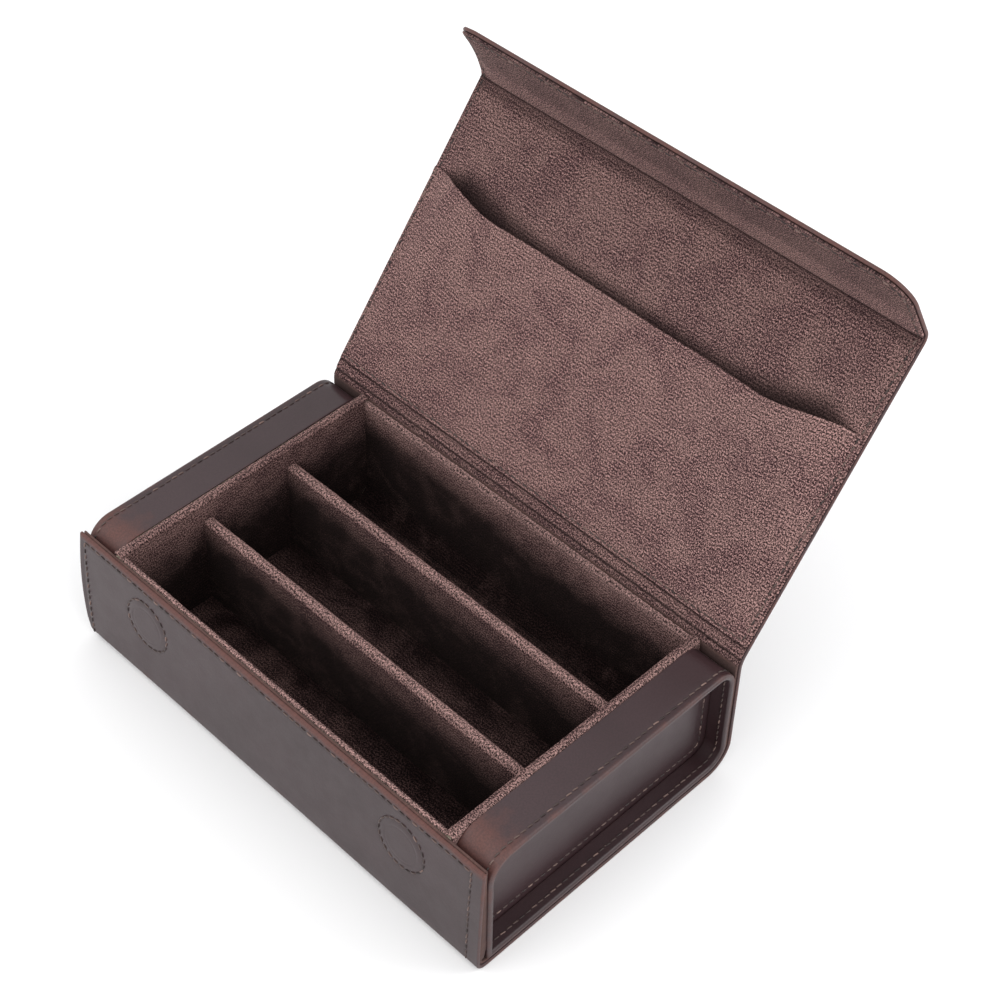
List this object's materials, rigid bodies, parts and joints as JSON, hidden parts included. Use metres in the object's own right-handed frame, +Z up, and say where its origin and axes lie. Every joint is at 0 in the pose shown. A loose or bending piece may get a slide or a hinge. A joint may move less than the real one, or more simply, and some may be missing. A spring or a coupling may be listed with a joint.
{
  "type": "watch box",
  "caption": "Flap-over leather watch box with a suede-lined tray of long troughs, stitched end bands and a magnetic lip.",
  "frame": {"origin": "centre of the flat underside of the leather wrap", "axes": "+X along the troughs, +Y from the front panel to the hinge, +Z up"},
  "size_m": [0.2, 0.1959, 0.1784],
  "materials": {
    "leather": "oiled, satin, dark brown with lighter reddish edges",
    "lining": "matt woven backing, dark brown",
    "suede": "matt brushed microfibre suede, brown",
    "board": "matt grey board",
    "block": "unfinished",
    "magnet": "nickel plated"
  },
  "bodies": {
    "base": {"wrap_leather": "leather", "wrap_lining": "lining", "tray_front_board": "board", "tray_floor_board": "board", "tray_back_board": "board", "tray_left_board": "board", "tray_right_board": "board", "front_suede": "suede", "floor_suede": "suede", "back_suede": "suede", "left_suede": "suede", "right_suede": "suede", "front_divider_board": "board", "front_divider_suede": "suede", "rear_divider_board": "board", "rear_divider_suede": "suede", "left_band_leather": "leather", "left_band_board": "board", "left_end_block": "block", "left_end_panel": "leather", "right_band_leather": "leather", "right_band_board": "board", "right_end_block": "block", "right_end_panel": "leather", "left_front_magnet": "magnet", "right_front_magnet": "magnet", "hinge_leather": "leather", "hinge_lining": "suede"},
    "lid": {"lid_leather": "leather", "lid_board": "board", "lid_suede": "suede", "pocket_panel": "suede", "lip_fold_leather": "leather", "lip_fold_suede": "suede"},
    "lip": {"lip_leather": "leather", "lip_board": "board", "lip_suede": "suede", "left_lip_magnet": "magnet", "right_lip_magnet": "magnet"}
  },
  "joints": [
    {"name": "lid_hinge", "type": "hinge", "parent": "base", "child": "lid", "pos_m": [0, 0.05875, 0.0544], "axis": [-1, 0, 0], "range_deg": [-128.5, 65], "deforming": ["hinge_leather", "hinge_lining"]},
    {"name": "lip_fold", "type": "hinge", "parent": "lid", "child": "lip", "pos_m": [0, 0.13612, 0.14862], "axis": [1, 0, 0], "range_deg": [-67, 23], "deforming": ["lip_fold_leather", "lip_fold_suede"]}
  ]
}
